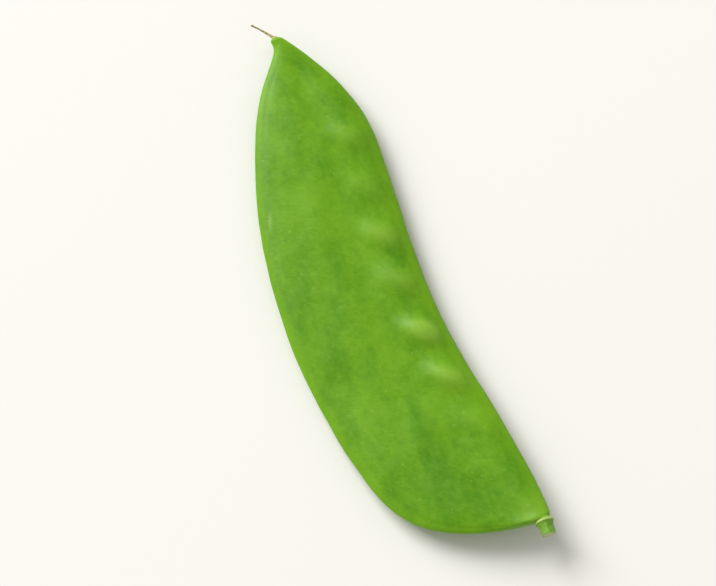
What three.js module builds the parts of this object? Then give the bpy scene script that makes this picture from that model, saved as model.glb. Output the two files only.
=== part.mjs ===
// A snow pea pod, picked and topped, lying on one of its flat sides.
// Units are millimetres. +X runs from the blossom end to the stem end, +Y from the belly edge to the
// back edge, and +Z is up. The origin is on the surface that the pod lies on, below the middle of its box.
//
// The pod is one piece: two flat valves grown together along a back seam and a belly seam. It keeps the
// short stub of its stem at one end and the thread of its withered style at the other.

import * as THREE from 'three';

// Driving dimensions of the pod
const LENGTH = 94; // from the beak to the neck
const WIDTH = 24.6; // from the back edge to the belly edge, at the broadest
const THICKNESS = 4.9; // through both valves, clear of the seeds
const NECK = 3.0; // diameter where the stem joins
const BEAK = 1.6; // diameter where the style joins

// The back edge: two shoulders with a shallow hollow between them, and a droop at the beak
const HOLLOW = 0.053 * WIDTH; // half the hollow's depth
const HOLLOW_AT = 0.565; // share of the length
const EDGE_OFFSET = 0.65 * HOLLOW; // of the wave's middle line from the X axis
const SHOULDER_SPACING = 0.75; // share of the length
const BEAK_DROOP = 0.27 * WIDTH;
const BEAK_REACH = 0.25; // share of the length
const BEAK_FAIRING = 0.8; // share of the droop over which the belly edge curves into the beak

// The belly edge: how far along the body is broadest, where its blunt stem end is, and how late and how
// roundly the outline turns in at each end
const BROADEST = 0.6;
const STEM_END = 0.997;
const BLOSSOM_TURN = 3.3;
const BLOSSOM_ROUND = 0.62;
const STEM_TURN = 6;
const STEM_ROUND = 0.7;

// The section: how far each end thins, how square-shouldered it is, and how thin the belly side is
const TAPER = 0.24; // share of the length
const SHOULDERS = 0.14; // 0 is an ellipse
const BELLY_THINNING = 0.2; // share of the thickness

// Seeds, which show through both valves in one row near the back edge
const SEEDS = 8;
const FIRST_SEED = 0.222; // share of the length
const SEED_PITCH = 0.095; // share of the length
const SEED_ROW = 0.17; // share of the width, from the back edge
const SEED_ZIGZAG = 0.012; // share of the width: the seeds hang from the two valves in turn
const SEED_RADIUS = 4.4; // of the rise that a seed makes in the valve
const SEED_RISE = 0.62;
const SEED_SIDE = 0.15; // share by which a seed lifts the valve that it hangs from more than the other
const END_SEED = 0.45; // rise of the seeds at the ends of the row, as a share of the middle ones'

// How the pod bends out of its plane, and how it lies
const STEM_LIFT = 2.2;
const STEM_LIFT_FROM = 0.6; // share of the length
const BLOSSOM_LIFT = 1.3;
const BLOSSOM_LIFT_FROM = 0.32; // share of the length
const TWIST = THREE.MathUtils.degToRad(3); // from end to end
const LEAN = THREE.MathUtils.degToRad(2.6); // towards the belly, until the seeds and the belly both touch
const PRESSED = 0.25; // how far the soft wall gives where the pod rests

// The stem stub and the style
const STUB_LENGTH = 2.1;
const STYLE_LENGTH = 4.2;
const STYLE_DIAMETER = 0.5;
const JOINT_GAP = 0.3; // between neighbouring solids

// Steps of the meshes
const ALONG = 84;
const AROUND = 32;

// The smaller of two lengths, rounded off where they meet.
const smoothMin = (a, b) => (a ** -4 + b ** -4) ** (-1 / 4);

// How far the back edge bends down towards the beak, at a share s of the length.
const droop = (s) => BEAK_DROOP * Math.max(0, 1 - s / BEAK_REACH) ** 2;

// Distance of the back edge from the X axis.
function backEdge(s) {
  const wave = -HOLLOW * Math.cos((2 * Math.PI * (s - HOLLOW_AT)) / SHOULDER_SPACING);
  return EDGE_OFFSET + wave - droop(s);
}

// Diameter that the beak and the neck share with the body between them.
const core = (s) => THREE.MathUtils.lerp(BEAK, NECK, s);

// Distance from the back edge to the belly edge: a blunt-ended body, faired into the beak and the neck.
// The droop takes from the width, so that it leaves the belly edge where it is.
function width(s) {
  const toBlossom = Math.max(0, 1 - s / BROADEST);
  const toStem = THREE.MathUtils.clamp((s - BROADEST) / (STEM_END - BROADEST), 0, 1);
  const blossomPart = (1 - toBlossom ** BLOSSOM_TURN) ** BLOSSOM_ROUND;
  const stemPart = (1 - toStem ** STEM_TURN) ** STEM_ROUND;
  const left = WIDTH * blossomPart * stemPart - droop(s);
  return Math.hypot((left + Math.hypot(left, BEAK_FAIRING * droop(s))) / 2, core(s));
}

// Height of a valve above the pod's middle plane, at a share v of the width from the back edge.
function valve(s, v, side) {
  const w = width(s);
  const flatness = THREE.MathUtils.smoothstep(w, NECK, 4 * NECK);
  const fullness = THREE.MathUtils.smoothstep(Math.min(s, 1 - s), 0, TAPER);
  const middle = smoothMin(w, THREE.MathUtils.lerp(core(s), THICKNESS, fullness)) / 2;
  const lens = middle * (4 * v * (1 - v)) ** (0.5 - SHOULDERS * flatness);
  let rise = 0;
  for (let i = 0; i < SEEDS; i++) {
    const turn = i % 2 ? -1 : 1;
    const along = (s - FIRST_SEED - i * SEED_PITCH) * LENGTH;
    const across = (v - SEED_ROW - turn * SEED_ZIGZAG) * w;
    const size = THREE.MathUtils.lerp(END_SEED, 1, Math.sin((Math.PI * (i + 0.5)) / SEEDS));
    const near = Math.max(0, 1 - (along ** 2 + across ** 2) / SEED_RADIUS ** 2);
    rise += SEED_RISE * size * (1 + SEED_SIDE * turn * side) * near ** 2;
  }
  return lens * (1 - BELLY_THINNING * flatness * v) + rise;
}

// A point of the pod as it lies: s along, v across and z above the middle plane.
function lay(s, y, z) {
  const lift =
    STEM_LIFT * Math.max(0, (s - STEM_LIFT_FROM) / (1 - STEM_LIFT_FROM)) ** 2 +
    BLOSSOM_LIFT * Math.max(0, 1 - s / BLOSSOM_LIFT_FROM) ** 2;
  const turn = LEAN + TWIST * (s - 0.5);
  const fromAxis = y + WIDTH / 2;
  return new THREE.Vector3(
    s * LENGTH,
    fromAxis * Math.cos(turn) - z * Math.sin(turn) - WIDTH / 2,
    fromAxis * Math.sin(turn) + z * Math.cos(turn) + lift,
  );
}

// The middle of the pod's section, as it lies.
const spine = (s) => lay(s, backEdge(s) - width(s) / 2, 0);

// A sphere whose poles become the beak and the neck and whose other points move onto the pod.
function podGeometry() {
  const geometry = new THREE.SphereGeometry(1, AROUND, ALONG);
  const position = geometry.attributes.position;
  const point = new THREE.Vector3();
  let lowest = Infinity;
  for (let row = 0; row <= ALONG; row++) {
    const s = (1 - Math.cos((Math.PI * row) / ALONG)) / 2;
    const isPole = row === 0 || row === ALONG;
    for (let column = 0; column <= AROUND; column++) {
      const angle = (-2 * Math.PI * (column % AROUND)) / AROUND;
      const v = (1 - Math.cos(angle)) / 2;
      const side = Math.sign(Math.round(1e6 * Math.sin(angle)));
      const y = backEdge(s) - v * width(s);
      point.copy(isPole ? spine(s) : lay(s, y, side && side * valve(s, v, side)));
      position.setXYZ(row * (AROUND + 1) + column, point.x, point.y, point.z);
      lowest = Math.min(lowest, point.z);
    }
  }
  for (let i = 0; i < position.count; i++) {
    position.setZ(i, Math.max(position.getZ(i), lowest + PRESSED) - lowest - PRESSED);
  }
  geometry.computeVertexNormals();
  return { geometry, lowered: lowest + PRESSED };
}

// The direction in which the pod points at one of its ends: 0 for the beak and 1 for the neck.
const outwards = (end) => spine(end).sub(spine(end ? 0.998 : 0.002)).normalize();

// The stub: a collar where the leafy cup broke off, and the stem's cut end.
function stubGeometry() {
  const radius = NECK / 2;
  const outline = [
    [0, 0],
    [0.9 * radius, 0],
    [1.12 * radius, 0.12 * STUB_LENGTH],
    [1.12 * radius, 0.26 * STUB_LENGTH],
    [0.88 * radius, 0.42 * STUB_LENGTH],
    [0.82 * radius, 0.92 * STUB_LENGTH],
    [0.7 * radius, STUB_LENGTH],
    [0, STUB_LENGTH],
  ];
  return new THREE.LatheGeometry(outline.map(([r, h]) => new THREE.Vector2(r, h)), 16);
}

// The style: a dry thread that curls up from the beak.
function styleGeometry() {
  const path = new THREE.CatmullRomCurve3([
    new THREE.Vector3(0, 0, 0),
    new THREE.Vector3(0, 0.36 * STYLE_LENGTH, 0),
    new THREE.Vector3(-0.1 * STYLE_LENGTH, 0.7 * STYLE_LENGTH, 0.08 * STYLE_LENGTH),
    new THREE.Vector3(-0.34 * STYLE_LENGTH, 0.93 * STYLE_LENGTH, 0.2 * STYLE_LENGTH),
  ]);
  const section = new THREE.Shape().absarc(0, 0, STYLE_DIAMETER / 2, 0, 2 * Math.PI);
  return new THREE.ExtrudeGeometry(section, { steps: 10, curveSegments: 4, extrudePath: path });
}

// Puts a piece whose own +Y is its length at one end of the pod.
function fitToEnd(mesh, end, lowered) {
  const direction = outwards(end);
  mesh.position.copy(spine(end)).addScaledVector(direction, JOINT_GAP);
  mesh.position.z -= lowered;
  mesh.quaternion.setFromUnitVectors(new THREE.Vector3(0, 1, 0), direction);
  return mesh;
}

function namedMesh(name, geometry, color, roughness) {
  const mesh = new THREE.Mesh(geometry, new THREE.MeshStandardMaterial({ color, roughness }));
  mesh.name = name;
  return mesh;
}

const { geometry, lowered } = podGeometry();
const laid = new THREE.Group();
laid.add(
  namedMesh('pod', geometry, 0x6ba225, 0.45),
  fitToEnd(namedMesh('stem_stub', stubGeometry(), 0x8cb73a, 0.6), 1, lowered),
  fitToEnd(namedMesh('style_thread', styleGeometry(), 0xb9b27a, 0.8), 0, lowered),
);

// The origin goes below the middle of the box.
const middle = new THREE.Box3().setFromObject(laid, true).getCenter(new THREE.Vector3());
laid.position.set(-middle.x, -middle.y, 0);

const snowPeaPod = new THREE.Group();
snowPeaPod.add(laid);

export default snowPeaPod;
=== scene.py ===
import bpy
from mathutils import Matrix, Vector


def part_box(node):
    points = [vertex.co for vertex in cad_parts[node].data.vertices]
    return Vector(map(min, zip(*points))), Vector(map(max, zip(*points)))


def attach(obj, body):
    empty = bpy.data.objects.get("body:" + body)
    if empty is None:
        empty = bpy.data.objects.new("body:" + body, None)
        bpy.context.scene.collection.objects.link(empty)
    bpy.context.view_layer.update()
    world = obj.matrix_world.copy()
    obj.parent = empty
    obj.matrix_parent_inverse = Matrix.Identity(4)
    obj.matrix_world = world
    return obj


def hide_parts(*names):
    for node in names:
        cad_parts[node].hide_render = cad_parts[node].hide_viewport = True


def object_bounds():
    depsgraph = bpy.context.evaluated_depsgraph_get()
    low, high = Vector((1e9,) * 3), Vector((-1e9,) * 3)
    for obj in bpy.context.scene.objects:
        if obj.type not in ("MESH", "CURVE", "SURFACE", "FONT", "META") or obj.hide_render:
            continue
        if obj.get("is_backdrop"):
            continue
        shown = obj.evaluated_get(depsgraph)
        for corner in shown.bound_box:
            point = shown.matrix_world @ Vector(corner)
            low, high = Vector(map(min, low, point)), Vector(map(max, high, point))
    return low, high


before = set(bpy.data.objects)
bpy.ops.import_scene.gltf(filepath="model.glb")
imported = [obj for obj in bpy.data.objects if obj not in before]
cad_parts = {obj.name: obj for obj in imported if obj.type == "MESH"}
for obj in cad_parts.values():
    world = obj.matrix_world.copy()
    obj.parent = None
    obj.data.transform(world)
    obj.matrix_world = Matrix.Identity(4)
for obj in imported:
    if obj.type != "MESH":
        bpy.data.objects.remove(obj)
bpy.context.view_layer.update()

import math

import bpy
from mathutils import Matrix, Vector

MM = 0.001

# ---------------------------------------------------------------------------------------------------
# The pod. Two flat, crisp valves, grown together along a back seam, where the seeds hang, and along a
# belly seam. It grows as one piece, and is picked young, so the seeds only just lift the waxy skin.
# ---------------------------------------------------------------------------------------------------


class Value:
    """An output of a node. Sums and products of values add their Math nodes."""

    def __init__(self, tree, socket):
        self.tree = tree
        self.socket = socket

    def math(self, operation, *others):
        return self.tree.math(operation, self, *others)

    def __add__(self, other):
        return self.math("ADD", other)

    def __sub__(self, other):
        return self.math("SUBTRACT", other)

    def __rsub__(self, other):
        return self.tree.math("SUBTRACT", other, self)

    def __mul__(self, other):
        return self.math("MULTIPLY", other)

    def __truediv__(self, other):
        return self.math("DIVIDE", other)

    def __pow__(self, other):
        return self.math("POWER", other)

    def __neg__(self):
        return self.math("MULTIPLY", -1.0)

    __radd__ = __add__
    __rmul__ = __mul__

    def at_least(self, other):
        return self.math("MAXIMUM", other)

    def at_most(self, other):
        return self.math("MINIMUM", other)

    def bell(self, spread):
        """1 where the value is 0, falling smoothly to nothing about two spreads away."""
        scaled = self / spread
        return (-(scaled * scaled)).math("EXPONENT")

    def ramp(self, low, high, start=0.0, end=1.0):
        """Runs smoothly from start to end while the value goes from low to high."""
        limits = {"Value": self, "From Min": low, "From Max": high, "To Min": start, "To Max": end}
        return self.tree.node("ShaderNodeMapRange", {"interpolation_type": "SMOOTHSTEP"}, limits)

    def parts(self):
        """The three numbers of a vector."""
        return [self.tree.node("ShaderNodeSeparateXYZ", {}, {0: self}, i) for i in range(3)]

    def scaled(self, factor):
        """A vector made longer."""
        settings = {"operation": "SCALE"}
        return self.tree.node("ShaderNodeVectorMath", settings, {"Vector": self, "Scale": factor})


class Tree:
    """A node tree, written as expressions."""

    def __init__(self, tree):
        self.tree = tree

    def node(self, kind, settings={}, inputs={}, output=0):
        """Adds one node with its settings and its inputs, and gives one of its outputs."""
        made = self.tree.nodes.new(kind)
        for name, setting in settings.items():
            setattr(made, name, setting)
        for name, value in inputs.items():
            if isinstance(value, Value):
                self.tree.links.new(value.socket, made.inputs[name])
            else:
                made.inputs[name].default_value = value
        return Value(self, made.outputs[output]) if made.outputs else None

    def math(self, operation, *terms):
        return self.node("ShaderNodeMath", {"operation": operation}, dict(enumerate(terms)))

    def vector(self, x, y, z):
        return self.node("ShaderNodeCombineXYZ", {}, {0: x, 1: y, 2: z})

    def noise(self, where, scale, detail=2.0):
        """Soft random ups and downs, from about -1 to 1."""
        inputs = {"Vector": where, "Scale": scale, "Detail": detail}
        return self.node("ShaderNodeTexNoise", {}, inputs) * 2.0 - 1.0

    def inputs(self, sizes):
        """Gives a Geometry Nodes tree one named input for each size, and the mesh that it puts out."""
        for name, size in sizes.items():
            kind = "NodeSocketVector" if isinstance(size, Vector) else "NodeSocketFloat"
            self.tree.interface.new_socket(name, in_out="INPUT", socket_type=kind)
        self.tree.interface.new_socket("Mesh", in_out="OUTPUT", socket_type="NodeSocketGeometry")
        entry = self.tree.nodes.new("NodeGroupInput")
        return {name: Value(self, entry.outputs[name]) for name in sizes}


def store(tree, mesh, name, value, kind="FLOAT"):
    """Writes a value on every point of a mesh, under a name that a material can read."""
    inputs = {"Geometry": mesh, "Name": name, "Value": value}
    return tree.node("GeometryNodeStoreNamedAttribute", {"data_type": kind}, inputs)


def move(tree, mesh, place):
    return tree.node("GeometryNodeSetPosition", {}, {"Geometry": mesh, "Position": place})


def sheet_to_wrap(tree, steps_along, steps_around):
    """A grid to wrap round into a closed form, and each point's share of the way along and round."""
    counts = {"Vertices X": steps_along + 1, "Vertices Y": steps_around + 1}
    grid = tree.node("GeometryNodeMeshGrid", {}, {"Size X": 1.0, "Size Y": 1.0, **counts})
    across, up, _ = tree.node("GeometryNodeInputPosition").parts()
    return tree.node("GeometryNodeFlipFaces", {}, {"Mesh": grid}), across + 0.5, up + 0.5


def finish_tree(tree, mesh, material):
    """Closes the seam and the poles of a wrapped sheet, and puts out the mesh."""
    merged = tree.node("GeometryNodeMergeByDistance", {}, {"Geometry": mesh, "Distance": 2e-7})
    smooth = tree.node("GeometryNodeSetShadeSmooth", {}, {"Geometry": merged})
    real = tree.node("GeometryNodeRealizeInstances", {}, {"Geometry": smooth})
    coated = tree.node("GeometryNodeSetMaterial", {}, {"Geometry": real, "Material": material})
    tree.node("NodeGroupOutput", {}, {"Mesh": coated})


def grow(name, tree, sizes):
    """Runs a Geometry Nodes tree with its sizes set, and keeps what it makes as a plain mesh."""
    piece = bpy.data.objects.new(name, bpy.data.meshes.new(name))
    bpy.context.scene.collection.objects.link(piece)
    modifier = piece.modifiers.new(name, "NODES")
    modifier.node_group = tree.tree
    for socket in tree.tree.interface.items_tree:
        if socket.in_out == "INPUT":
            modifier[socket.identifier] = sizes[socket.name]
    evaluated = piece.evaluated_get(bpy.context.evaluated_depsgraph_get())
    mesh = bpy.data.meshes.new_from_object(evaluated)
    if mesh.materials[0] is None:
        mesh.materials.pop(index=0)  # the empty slot that comes before the tree's own material
    piece.modifiers.clear()
    piece.data = mesh
    return piece


pod_low, pod_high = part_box("pod")
POD_SIZES = {
    "Length": pod_high.x - pod_low.x,
    "Width": 0.903 * (pod_high.y - pod_low.y),  # its bent outline takes up the rest
    "Thickness": 4.9 * MM,
    "Neck": 3.0 * MM,
    "Beak": 1.6 * MM,
    "Seeds": 8,
    "First Seed": 0.222,  # share of the length
    "Seed Pitch": 0.095,  # share of the length
    "Seed Rise": 0.85 * MM,
    "Lean": math.radians(2.6),
    "Twist": math.radians(3.0),
    "Stem Lift": 2.2 * MM,
    "Blossom Lift": 1.3 * MM,
    "Pressed": 0.25 * MM,
    "Corner": pod_low,
}
STEPS_ALONG = 450
STEPS_AROUND = 200

# The back edge: two shoulders with a shallow hollow between them, and a droop at the beak
HOLLOW = 0.053  # half the hollow's depth, as a share of the width
HOLLOW_AT = 0.565  # share of the length
SHOULDER_SPACING = 0.75  # share of the length
DROOP = 0.27  # share of the width
DROOP_REACH = 0.25  # share of the length
FAIRING = 0.8  # share of the droop over which the belly edge curves into the beak

# The belly edge: where the body is broadest, where its blunt stem end is, and how late and how roundly
# the outline turns in at each end
BROADEST = 0.6  # share of the length
STEM_END = 0.997  # share of the length
BLOSSOM_TURN, BLOSSOM_ROUND = 3.3, 0.62
STEM_TURN, STEM_ROUND = 6, 0.7


def pod_outline(tree, size, s):
    """The back edge's distance from the X axis, the width below it, and the thickness that the beak and
    the neck share with the body between them, all at a share s of the length."""
    hollow = size["Width"] * HOLLOW
    wave = ((s - HOLLOW_AT) * (math.tau / SHOULDER_SPACING)).math("COSINE") * hollow
    droop = (1 - s / DROOP_REACH).at_least(0) ** 2 * size["Width"] * DROOP
    core = size["Beak"] + (size["Neck"] - size["Beak"]) * s
    to_blossom = (1 - s / BROADEST).at_least(0)
    to_stem = ((s - BROADEST) / (STEM_END - BROADEST)).at_least(0).at_most(1)
    blossom_part = (1 - to_blossom**BLOSSOM_TURN) ** BLOSSOM_ROUND
    stem_part = (1 - to_stem**STEM_TURN) ** STEM_ROUND
    left = size["Width"] * blossom_part * stem_part - droop
    body = (left + (left**2 + (FAIRING * droop) ** 2) ** 0.5) * 0.5
    return 0.65 * hollow - wave - droop, (body**2 + core**2) ** 0.5, core


# The seeds: how each one lifts a valve, and how much they differ
SEED_ROW = 3.9 * MM  # from the back edge
SEED_LENGTH = 4.7 * MM  # from the middle of a dome to its foot, along the pod
SEED_WIDTH = 5.4 * MM  # and across it
SEED_SLANT = 0.5  # the seeds lie aslant, their belly ends nearer the blossom
SHIFT = 0.8 * MM  # how far they stray along the row
DROP = 0.9 * MM  # and across it
GIRTH = 0.5  # how much they differ in size
SEED_SIDE = 0.12  # how much more a seed lifts the valve that it hangs from


def seed_dome(tree, size, count, seed, from_back, side):
    """The soft dome that one seed makes in a valve, from 0 to about 1. No two are alike."""
    chance = tree.node("ShaderNodeTexWhiteNoise", {"noise_dimensions": "1D"}, {"W": seed + 0.37}, 1)
    shift, drop, girth = [part - 0.5 for part in chance.parts()]
    along = (count - seed) * size["Seed Pitch"] * size["Length"] - shift * SHIFT
    across = from_back - SEED_ROW - drop * DROP
    away = ((along + across * SEED_SLANT) / SEED_LENGTH) ** 2 + (across / SEED_WIDTH) ** 2

    # None beyond the ends of the row. Those near the beak are small, and the last two hardly grew.
    in_row = ((seed + 0.5) / size["Seeds"] * math.pi).math("SINE") * 50
    grown = in_row.at_least(0).at_most(1) * seed.ramp(-2, 4, 0.25, 1) * seed.ramp(4.9, 6.3, 1, 0.12)
    turn = (seed * math.pi).math("COSINE")
    dome = (1 - away).at_least(0) ** 3 * grown
    return dome * (1 + GIRTH * girth) * (1 + SEED_SIDE * turn * side)


def seed_rise(tree, size, s, from_back, side):
    """How far the whole row of seeds lifts a valve."""
    count = (s - size["First Seed"]) / size["Seed Pitch"]
    before = count.math("FLOOR")
    nearer = seed_dome(tree, size, count, before, from_back, side)
    return nearer + seed_dome(tree, size, count, before + 1, from_back, side)


TAPER = 0.24  # share of the length over which each end thins
SHOULDERS = 0.24  # how square-shouldered the section is: 0 is an ellipse
BELLY_THINNING = 0.2  # share of the thickness
SEAM_HEIGHT = 0.34 * MM  # half the height of the seam's notch


def pod_shape():
    tree = Tree(bpy.data.node_groups.new("pod_shape", "GeometryNodeTree"))
    size = tree.inputs(POD_SIZES)
    sheet, even, turn = sheet_to_wrap(tree, STEPS_ALONG, STEPS_AROUND)

    # Along the pod and round it, with finer steps at the two ends and along the two seams
    s = even - (even * math.tau).math("SINE") * (0.7 / math.tau)
    angle = turn * math.tau - (turn * 2 * math.tau).math("SINE") * 0.2
    v = (1 - angle.math("COSINE")) * 0.5
    rim = angle.math("SINE")
    side = (rim * 5).at_least(-1).at_most(1)

    # The outline, rounded off at its two ends
    back, width, core = pod_outline(tree, size, s)
    to_end = (s.at_most(1 - s) * size["Length"] / (core * 0.5)).at_most(1)
    closing = (to_end * (2 - to_end)) ** 0.5
    from_back = v * width
    from_belly = (1 - v) * width

    # The valves: a flat lens, with a bead and a groove along each seam
    flatness = width.ramp(size["Neck"], size["Neck"] * 4)
    fullness = s.at_most(1 - s).ramp(0, TAPER)
    thick = core + (size["Thickness"] - core) * fullness
    middle = (width**-4 + thick**-4) ** -0.25 * 0.5
    lens = middle * rim.math("ABSOLUTE") ** (1 - SHOULDERS * flatness)
    lens = lens * (1 - BELLY_THINNING * flatness * v)
    groove = (from_back - 1.5 * MM).bell(0.5 * MM) * 0.03 * MM
    belly_groove = (from_belly - 1.7 * MM).bell(0.5 * MM) * 0.04 * MM

    # What the seeds and the limp wall between them do to it
    flat = tree.vector(s * size["Length"], back - from_back, side * 5 * MM)
    inside = from_back.at_most(from_belly).ramp(0.6 * MM, 4 * MM) * flatness
    seeds = seed_rise(tree, size, s, from_back, side) * from_back.ramp(0, 2.2 * MM)
    long_way = tree.vector(s * size["Length"] * 0.45, back - from_back, side * 9 * MM)
    swell = tree.noise(long_way, 120, 1) * 0.36 * MM + tree.noise(flat, 190, 2) * 0.14 * MM
    trough = (v - 0.36).bell(0.13) * (0.2 + tree.noise(s, 6, 1) * 0.12) * MM * flatness
    limp = inside * (swell - trough) - flatness * (groove + belly_groove)
    height = lens + seeds * size["Seed Rise"] + limp

    # The edges wander a little, and the seam is a fine notch between two ribs
    wander = tree.noise(tree.vector(s * size["Length"], v * 40 * MM, 0), 80, 2) * 0.3 * MM * flatness
    seam = (height / SEAM_HEIGHT).bell(0.6)
    notch = seam * (1 - 2 * v) * 0.13 * MM * flatness
    y = back - width * 0.5 + (1 - 2 * v) * width * 0.5 * closing + wander - notch
    z = rim.math("SIGN") * height * closing

    # How it bends and lies
    lift = ((s - 0.6) / 0.4).at_least(0) ** 2 * size["Stem Lift"]
    lift = lift + (1 - s / 0.32).at_least(0) ** 2 * size["Blossom Lift"]
    tilt = size["Lean"] + size["Twist"] * (s - 0.5)
    from_axis = y + size["Width"] * 0.5
    lying = tree.vector(
        s * size["Length"],
        from_axis * tilt.math("COSINE") - z * tilt.math("SINE"),
        from_axis * tilt.math("SINE") + z * tilt.math("COSINE") + lift,
    )

    stored = store(tree, sheet, "skin", flat, "FLOAT_VECTOR")
    stored = store(tree, stored, "seed", seeds)
    stored = store(tree, stored, "from_back", from_back)
    stored = store(tree, stored, "from_belly", from_belly)
    stored = store(tree, stored, "seam", seam * flatness)
    laid = move(tree, stored, lying)

    # Set down on the surface, where the soft wall gives a little
    lowest = tree.node("GeometryNodeBoundBox", {}, {"Geometry": laid}, 1)
    down, across = {"operation": "SUBTRACT"}, {"operation": "ADD"}
    here = tree.node("GeometryNodeInputPosition")
    settled = tree.node("ShaderNodeVectorMath", down, {0: here, 1: lowest})
    placed = tree.node("ShaderNodeVectorMath", across, {0: settled, 1: size["Corner"]})
    x, y, z = placed.parts()
    z = z - size["Pressed"]
    pressed = (z + (z * z + (0.12 * MM) ** 2) ** 0.5) * 0.5
    finish_tree(tree, move(tree, laid, tree.vector(x, y, pressed)), pod_skin)
    return tree


def surface(name, shader_settings):
    """A new material: its tree, and its shader with the settings that are the same all over."""
    material = bpy.data.materials.new(name)
    material.use_nodes = True
    shader = material.node_tree.nodes["Principled BSDF"]
    for setting, value in shader_settings.items():
        shader.inputs[setting].default_value = value
    return material, Tree(material.node_tree), shader


def connect(tree, shader, inputs):
    for name, value in inputs.items():
        tree.tree.links.new(value.socket, shader.inputs[name])


def mix(tree, share, first, second):
    """A colour between two colours."""
    return tree.node("ShaderNodeMix", {"data_type": "RGBA"}, {0: share, 6: first, 7: second}, 2)


def attribute(tree, name, output="Fac"):
    return tree.node("ShaderNodeAttribute", {"attribute_name": name}, {}, output)


def tone(red, green, blue):
    return (red, green, blue, 1.0)


def pod_skin_material():
    material, tree, shader = surface(
        "pod_skin",
        {
            "Subsurface Weight": 0.25,
            "Subsurface Radius": (0.5, 1.0, 0.15),
            "Subsurface Scale": 1.2 * MM,
            "Specular IOR Level": 0.22,
            "Coat Roughness": 0.22,
        },
    )
    skin = attribute(tree, "skin", "Vector").scaled(1 / MM)
    x, y, z = skin.parts()
    seed = attribute(tree, "seed")
    from_back = attribute(tree, "from_back") / MM
    from_belly = attribute(tree, "from_belly") / MM
    seam = attribute(tree, "seam")
    from_edge = from_back.at_most(from_belly)

    # Broad and middling patches of deeper and fresher green, drawn out along the pod
    drawn_out = tree.vector(x * 0.5, y, z)
    broad = tree.noise(drawn_out, 0.09, 2)
    patches = tree.noise(drawn_out, 0.33, 3)
    mottle = tree.noise(skin, 1.3, 3)
    fresh = (broad * 0.5 + patches * 0.4 + mottle * 0.25).ramp(-0.4, 0.4)
    colour = mix(tree, fresh, tone(0.07, 0.242, 0.001), tone(0.158, 0.375, 0.004))

    # The veins: a fine net, drawn out from the back seam towards the blossom end and the belly
    bent = tree.noise(skin, 0.4, 2) * 0.5
    along_vein = (x + y) * 0.17 + z
    across_vein = (x - y) * 0.62 + bent
    cells = {"feature": "DISTANCE_TO_EDGE"}
    where = tree.vector(along_vein, across_vein, z)
    coarse = tree.node("ShaderNodeTexVoronoi", cells, {"Vector": where, "Scale": 1.0})
    fine = tree.node("ShaderNodeTexVoronoi", cells, {"Vector": where, "Scale": 2.7})
    veins = coarse.ramp(0.0, 0.11, 1, 0) + fine.ramp(0.0, 0.14, 1, 0) * 0.5
    net = veins * from_edge.ramp(0.4, 2.5) * (0.6 + patches * 0.5)
    colour = mix(tree, net * 0.16, colour, tone(0.24, 0.47, 0.03))

    # Paler, yellower on the seams and towards the neck; paler over the seeds and along the rims
    # Over the seeds: partly the wall's own paler tone where a seed stretches it, partly painted
    # highlight on the domes
    colour = mix(tree, (seed * seed * 0.7).at_most(0.55), colour, tone(0.3, 0.53, 0.055))
    # Along the rims: partly the seams' own paler band, partly painted highlight on the rounded edges
    colour = mix(tree, from_edge.ramp(0.2, 2.4, 0.42, 0), colour, tone(0.2, 0.43, 0.012))
    colour = mix(tree, seam * 0.45, colour, tone(0.3, 0.5, 0.06))
    neck = x.ramp(86, 94) * from_back.ramp(9, 2)
    colour = mix(tree, neck * 0.5, colour, tone(0.25, 0.47, 0.03))

    # A few pale flecks, and one short scuff near the belly edge, on the upper side only
    fleck = tree.node("ShaderNodeTexVoronoi", {}, {"Vector": skin, "Scale": 0.55})
    colour = mix(tree, fleck.ramp(0.07, 0.12, 0.28, 0), colour, tone(0.33, 0.52, 0.1))
    along_scuff = x - 29.2
    scuff_line = (y + 19.8 + along_scuff * 0.4 + mottle * 0.3).bell(0.3)
    scuff = scuff_line * along_scuff.bell(1.3) * z.ramp(3, 4) * (0.6 + mottle)
    colour = mix(tree, scuff * 0.6, colour, tone(0.34, 0.52, 0.13))

    # Satin wax, duller and glossier in patches, over a faintly pebbled and veined skin
    pebble = tree.noise(skin, 5, 2)
    rough = 0.43 + patches * 0.06 + mottle * 0.04 - seam * 0.05
    wax = 0.02 + patches * 0.015
    relief = net * 0.35 + pebble * 0.12 + mottle * 0.25
    bump = tree.node("ShaderNodeBump", {}, {"Strength": 0.6, "Distance": 0.06 * MM, "Height": relief})
    finish = {"Base Color": colour, "Roughness": rough, "Coat Weight": wax, "Normal": bump}
    connect(tree, shader, finish)
    return material


pod_skin = pod_skin_material()
pod = grow("pod_valves", pod_shape(), POD_SIZES)
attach(pod, "root")
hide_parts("pod")


# ---------------------------------------------------------------------------------------------------
# The stem stub. The last few millimetres of the pod's stalk, with the pale, ragged ring that the leafy
# cup left when it was pulled off. It is part of the plant's own tissue and runs on from the neck.
# ---------------------------------------------------------------------------------------------------


def pod_end(end):
    """The point at one end of the pod, 1 for the neck and -1 for the beak, and the way it points."""
    from_back = pod.data.attributes["from_back"].data
    tip = max((vertex.co for vertex in pod.data.vertices), key=lambda place: place.x * end)
    seam = [v.co for v in pod.data.vertices if from_back[v.index].value == 0]
    near, far = [min(seam, key=lambda p: abs(abs(tip.x - p.x) - step)) for step in (1 * MM, 3 * MM)]
    return tip.copy(), (near - far).normalized()


neck_tip, neck_way = pod_end(1)
stub_low, stub_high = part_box("stem_stub")
ROOT = 1.5 * MM  # how deep the stub starts in the neck
STUB_SIZES = {
    "Length": stub_high.x - neck_tip.x + 1.2 * MM,  # from its buried root to the cut end
    "Radius": 1.36 * MM,
    "Ribs": 9.0,
}


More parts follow.
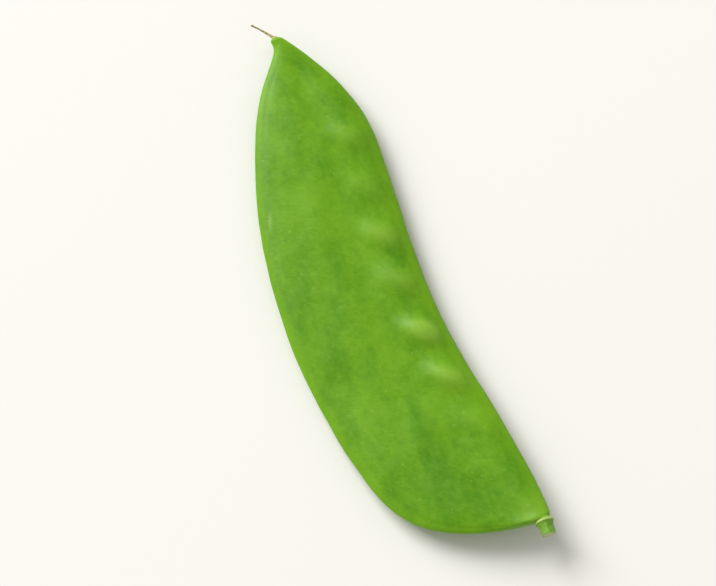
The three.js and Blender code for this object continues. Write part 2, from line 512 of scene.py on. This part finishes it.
def stub_shape():
    tree = Tree(bpy.data.node_groups.new("stub_shape", "GeometryNodeTree"))
    size = tree.inputs(STUB_SIZES)
    sheet, t, turn = sheet_to_wrap(tree, 120, 128)
    angle = turn * math.tau
    round_it = tree.vector(angle.math("COSINE"), angle.math("SINE"), 0)

    # The outline: buried root, ragged collar, ribbed stalk, and a cut end with a soft rim
    ragged = tree.noise(round_it, 2.2, 3)
    up = t.ramp(0.1, 0.9) * 0.25 + t * 0.75
    collar = (up - 0.36 - ragged * 0.05).bell(0.08) * (0.17 + ragged * 0.1)
    ribs = (angle * size["Ribs"]).math("COSINE") * 0.03 * up.ramp(0.45, 0.7)
    uneven = tree.noise(tree.vector(angle.math("COSINE"), angle.math("SINE"), up * 3), 1.4, 2) * 0.06
    slim = up.ramp(0.1, 0.34, 0.75, 1) - up.ramp(0.4, 0.75) * 0.17
    cut = (1 - t).ramp(0, 0.055) ** 0.5
    buried = t.ramp(0, 0.06)
    radius = size["Radius"] * (slim + collar + ribs + uneven) * cut * buried
    dish = (1 - cut) * 0.12 * size["Radius"]
    height = up * size["Length"] - dish
    place = tree.vector(angle.math("COSINE") * radius, angle.math("SINE") * radius, height)

    stored = store(tree, sheet, "collar", collar)
    stored = store(tree, stored, "cut", 1 - cut)
    finish_tree(tree, move(tree, stored, place), stem_skin)
    return tree


def stem_skin_material():
    material, tree, shader = surface(
        "stem_skin",
        {
            "Subsurface Weight": 0.2,
            "Subsurface Radius": (0.6, 1.0, 0.2),
            "Subsurface Scale": 0.6 * MM,
        },
    )
    place = tree.node("ShaderNodeTexCoord", {}, {}, "Object").scaled(1 / MM)
    collar = attribute(tree, "collar")
    cut = attribute(tree, "cut")
    grain = tree.noise(place, 2.2, 4)
    colour = mix(tree, grain.ramp(-0.5, 0.5), tone(0.11, 0.29, 0.006), tone(0.2, 0.42, 0.02))
    colour = mix(tree, collar.ramp(0.05, 0.2), colour, tone(0.5, 0.62, 0.2))
    pith = mix(tree, grain.ramp(-0.3, 0.4), tone(0.55, 0.62, 0.3), tone(0.38, 0.42, 0.16))
    colour = mix(tree, cut.ramp(0.02, 0.3), colour, pith)
    relief = tree.noise(place, 5, 3)
    bump = tree.node("ShaderNodeBump", {}, {"Strength": 0.6, "Distance": 0.08 * MM, "Height": relief})
    connect(tree, shader, {"Base Color": colour, "Roughness": 0.55 + grain * 0.08, "Normal": bump})
    return material


stem_skin = stem_skin_material()
stub = grow("stem_end", stub_shape(), STUB_SIZES)
turned = neck_way.to_track_quat("Z", "X").to_matrix().to_4x4()
stub.data.transform(Matrix.Translation(neck_tip - neck_way * ROOT) @ turned)
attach(stub, "root")
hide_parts("stem_stub")


# ---------------------------------------------------------------------------------------------------
# The style. The flower's pollen tube, which stays on the pod's beak as a dry, curled, papery thread
# with the remains of the stigma at its tip.
# ---------------------------------------------------------------------------------------------------

beak_tip, beak_way = pod_end(-1)
style_low, style_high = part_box("style_thread")
STYLE_SIZES = {
    "Start": beak_tip - beak_way * 0.3 * MM,
    "Bend": beak_tip + beak_way * 2.4 * MM,
    "Tip": Vector((style_low.x + 0.2 * MM, style_low.y + 0.3 * MM, style_high.z - 0.2 * MM)),
    "Radius": 0.24 * MM,
}


def style_shape():
    tree = Tree(bpy.data.node_groups.new("style_shape", "GeometryNodeTree"))
    size = tree.inputs(STYLE_SIZES)
    points = {"Resolution": 60, "Start": size["Start"], "Middle": size["Bend"], "End": size["Tip"]}
    path = tree.node("GeometryNodeCurveQuadraticBezier", {}, points)
    far = tree.node("GeometryNodeSplineParameter")
    stigma = (far - 0.95).bell(0.04) * 0.5
    foot = far.ramp(0, 0.14, 1.1, 0)
    girth = size["Radius"] * (1 - 0.55 * far + stigma + foot) * (1 - far.ramp(0.97, 1, 0, 0.9))
    by_radius = {"mode": "RADIUS"}
    ring = tree.node("GeometryNodeCurvePrimitiveCircle", by_radius, {"Resolution": 14, "Radius": 1.0})
    swept = {"Curve": path, "Profile Curve": ring, "Scale": girth, "Fill Caps": True}
    thread = tree.node("GeometryNodeCurveToMesh", {}, swept)

    # Dried out: wrinkled across, and a little flattened here and there
    place = tree.node("GeometryNodeInputPosition")
    facing = tree.node("GeometryNodeInputNormal")
    shrunk = tree.noise(place, 2600, 2) * 0.05 * MM
    inputs = {"Geometry": thread, "Offset": facing.scaled(shrunk)}
    wrinkled = tree.node("GeometryNodeSetPosition", {}, inputs)
    finish_tree(tree, wrinkled, dry_style)
    return tree


def dry_style_material():
    material, tree, shader = surface("dry_style", {"Specular IOR Level": 0.2})
    place = tree.node("ShaderNodeTexCoord", {}, {}, "Object").scaled(1 / MM)
    grain = tree.noise(place, 3, 3)
    colour = mix(tree, grain.ramp(-0.4, 0.4), tone(0.27, 0.2, 0.06), tone(0.56, 0.5, 0.24))
    bump = tree.node("ShaderNodeBump", {}, {"Strength": 0.7, "Distance": 0.05 * MM, "Height": grain})
    connect(tree, shader, {"Base Color": colour, "Roughness": 0.8 + grain * 0.08, "Normal": bump})
    return material


dry_style = dry_style_material()
style = grow("dry_style", style_shape(), STYLE_SIZES)
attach(style, "root")
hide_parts("style_thread")


# ---------------------------------------------------------------------------------------------------
# The table and the light. A plain, warm white, matte surface. A broad soft light stands low on the side
# of the beak, so that the seeds stand out, and pale surroundings fill the shadows.
# ---------------------------------------------------------------------------------------------------

bpy.ops.mesh.primitive_plane_add(size=60)
table = bpy.context.object
table.name = "table"
table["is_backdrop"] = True
table_finish = {"Base Color": tone(0.905, 0.89, 0.85), "Roughness": 0.8, "Specular IOR Level": 0.0}
table_top, tree, shader = surface("table_top", table_finish)
table.data.materials.append(table_top)

scene = bpy.context.scene
world = bpy.data.worlds.new("surroundings")
scene.world = world
world.use_nodes = True
world.node_tree.nodes["Background"].inputs["Color"].default_value = (1.0, 0.985, 0.95, 1.0)
world.node_tree.nodes["Background"].inputs["Strength"].default_value = 0.46
scene.view_settings.view_transform = "Standard"

low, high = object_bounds()
middle = (low + high) / 2


def direction(azimuth, elevation):
    """The way from the object to something that is seen from it at these angles, in degrees."""
    around, up = math.radians(azimuth), math.radians(elevation)
    return Vector((math.sin(around) * math.cos(up), -math.cos(around) * math.cos(up), math.sin(up)))


def look_at_middle(thing, azimuth, elevation, distance):
    way = direction(azimuth, elevation)
    thing.location = middle + way * distance
    thing.rotation_euler = (-way).to_track_quat("-Z", "Y").to_euler()


def soft_light(name, azimuth, elevation, distance, size, watts):
    lamp = bpy.data.lights.new(name, "AREA")
    lamp.size = size
    lamp.energy = watts
    thing = bpy.data.objects.new(name, lamp)
    scene.collection.objects.link(thing)
    look_at_middle(thing, azimuth, elevation, distance)


soft_light("key", azimuth=292, elevation=37, distance=3.0, size=2.0, watts=103)

lens = bpy.data.cameras.new("camera")
lens.lens = 170  # a long one, from which the far end looks as broad as the near end
camera = bpy.data.objects.new("camera", lens)
scene.collection.objects.link(camera)
look_at_middle(camera, azimuth=66.5, elevation=74, distance=0.555)
scene.camera = camera
